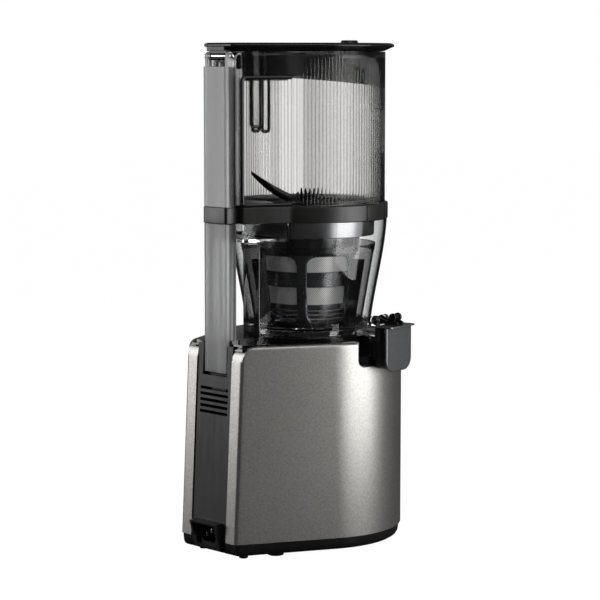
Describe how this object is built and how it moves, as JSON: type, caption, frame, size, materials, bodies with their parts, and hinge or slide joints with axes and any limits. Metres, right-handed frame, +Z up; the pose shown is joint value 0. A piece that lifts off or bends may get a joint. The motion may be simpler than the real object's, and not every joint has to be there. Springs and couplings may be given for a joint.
{
  "type": "cold press juicer",
  "caption": "Vertical cold press juicer: metallic base with drive, clear drum with strainer and auger, swinging juice cap, fluted smoked hopper and hinged lid.",
  "frame": {"origin": "on the floor plane of the feet, under the drive axis that the motor, output shaft, auger, drum and hopper share", "axes": "+Z up along the drive axis; +Y to the rear, towards the mains inlet and the rear column; -X roughly towards the juice spout, which points 10.5 degrees forward of it"},
  "size_m": [0.2091, 0.247, 0.4957],
  "materials": {
    "metallic_gray": "satin metallic",
    "black_gloss": "gloss",
    "charcoal": "satin",
    "black_plastic": "satin",
    "rubber_black": "matte",
    "contact_metal": "satin",
    "steel": "satin",
    "iron": "matte",
    "copper": "satin",
    "alloy": "satin",
    "bronze": "satin",
    "gear_plastic": "matte",
    "board_green": "satin",
    "clear": "gloss",
    "frosted": "satin",
    "smoked": "gloss",
    "smoked_frosted": "satin",
    "silicone": "matte",
    "mesh_steel": "satin",
    "chrome": "gloss",
    "cap_gray": "satin metallic"
  },
  "bodies": {
    "base": {"base_cover": "metallic_gray", "top_deck": "black_gloss", "rear_panel": "charcoal", "bottom_pan": "black_plastic", "rubber_feet": "rubber_black", "inlet_socket": "black_plastic", "inlet_pins": "contact_metal", "stator_core": "iron", "stator_winding": "copper", "motor_end_bells": "alloy", "motor_bearings": "steel", "gearbox_housing": "alloy", "gearbox_cover": "alloy", "gearbox_bushes": "bronze", "control_board": "board_green", "dial_switch": "black_plastic", "interlock_switch": "black_plastic", "motor_posts": "rubber_black", "gearbox_screws": "steel"},
    "rotor": {"rotor_core": "iron", "motor_shaft": "steel", "cooling_fan": "black_plastic"},
    "idler": {"idler_gear": "gear_plastic", "idler_shaft": "steel"},
    "output": {"output_gear": "steel", "output_shaft": "steel"},
    "dial": {"control_dial": "black_plastic"},
    "drum": {"drum": "clear", "drum_neck": "clear", "drum_spout": "clear", "pulp_duct": "clear", "drum_column": "frosted", "drum_seal": "silicone", "strainer_frame": "black_gloss", "strainer_mesh": "mesh_steel", "wiper_cage": "black_gloss", "wiper_blades": "silicone", "cap_bracket": "smoked", "cap_hinge_pin": "chrome", "rod_spring": "steel"},
    "auger": {"auger": "black_gloss", "slicing_wing": "black_gloss"},
    "juice_cap": {"juice_cap_cup": "black_gloss", "juice_cap_plate": "cap_gray", "juice_cap_seal": "silicone", "cap_lever": "black_gloss"},
    "pulp_plug": {"pulp_plug": "silicone"},
    "lower_rod": {"lower_rod": "steel"},
    "hopper": {"hopper_shell": "smoked", "hopper_floor": "smoked", "hopper_ring": "charcoal", "hopper_column": "smoked_frosted", "lid_hinge_pin": "chrome"},
    "upper_rod": {"upper_rod": "steel"},
    "lid": {"lid": "charcoal", "lid_skirt": "charcoal", "lid_guard": "charcoal", "lid_nub": "charcoal"}
  },
  "joints": [
    {"name": "motor_spin", "type": "hinge", "parent": "base", "child": "rotor", "pos_m": [0, 0, 0.1], "axis": [0, 0, 1], "continuous": true},
    {"name": "idler_spin", "type": "hinge", "parent": "base", "child": "idler", "pos_m": [0, -0.036, 0.16], "axis": [0, 0, 1], "continuous": true},
    {"name": "output_spin", "type": "hinge", "parent": "base", "child": "output", "pos_m": [0, 0, 0.18], "axis": [0, 0, 1], "continuous": true},
    {"name": "auger_spin", "type": "hinge", "parent": "drum", "child": "auger", "pos_m": [0, 0, 0.25], "axis": [0, 0, 1], "continuous": true},
    {"name": "dial_turn", "type": "hinge", "parent": "base", "child": "dial", "pos_m": [0, -0.09, 0.118], "axis": [0, -1, 0], "range_deg": [-45, 45]},
    {"name": "drum_lift", "type": "slide", "parent": "base", "child": "drum", "axis": [0, 0, 1], "range_m": [0, 0.06]},
    {"name": "juice_cap_open", "type": "hinge", "parent": "drum", "child": "juice_cap", "pos_m": [-0.08397, -0.01556, 0.2247], "axis": [-0.1822, 0.9833, 0], "range_deg": [0, 95]},
    {"name": "pulp_plug_pull", "type": "slide", "parent": "drum", "child": "pulp_plug", "axis": [0.7071, -0.7071, 0], "range_m": [0, 0.02]},
    {"name": "lower_rod_rise", "type": "slide", "parent": "drum", "child": "lower_rod", "axis": [0, 0, 1], "range_m": [0, 0.002], "stiffness_N_per_m": 100, "springref_m": 0.003, "deforming": ["rod_spring"]},
    {"name": "hopper_lift", "type": "slide", "parent": "drum", "child": "hopper", "axis": [0, 0, 1], "range_m": [0, 0.06]},
    {"name": "upper_rod_rise", "type": "slide", "parent": "hopper", "child": "upper_rod", "axis": [0, 0, 1], "range_m": [0, 0.002]},
    {"name": "lid_open", "type": "hinge", "parent": "hopper", "child": "lid", "pos_m": [0, 0.116, 0.4799], "axis": [-1, 0, 0], "range_deg": [0, 95]}
  ],
  "couplings": [
    {"joint": "idler_spin", "follows": "motor_spin", "ratio": -0.22034},
    {"joint": "output_spin", "follows": "motor_spin", "ratio": 0.060945},
    {"joint": "auger_spin", "follows": "motor_spin", "ratio": 0.060945},
    {"joint": "lower_rod_rise", "follows": "lid_open", "m_per_rad": 0.001205},
    {"joint": "upper_rod_rise", "follows": "lid_open", "m_per_rad": 0.001205}
  ]
}
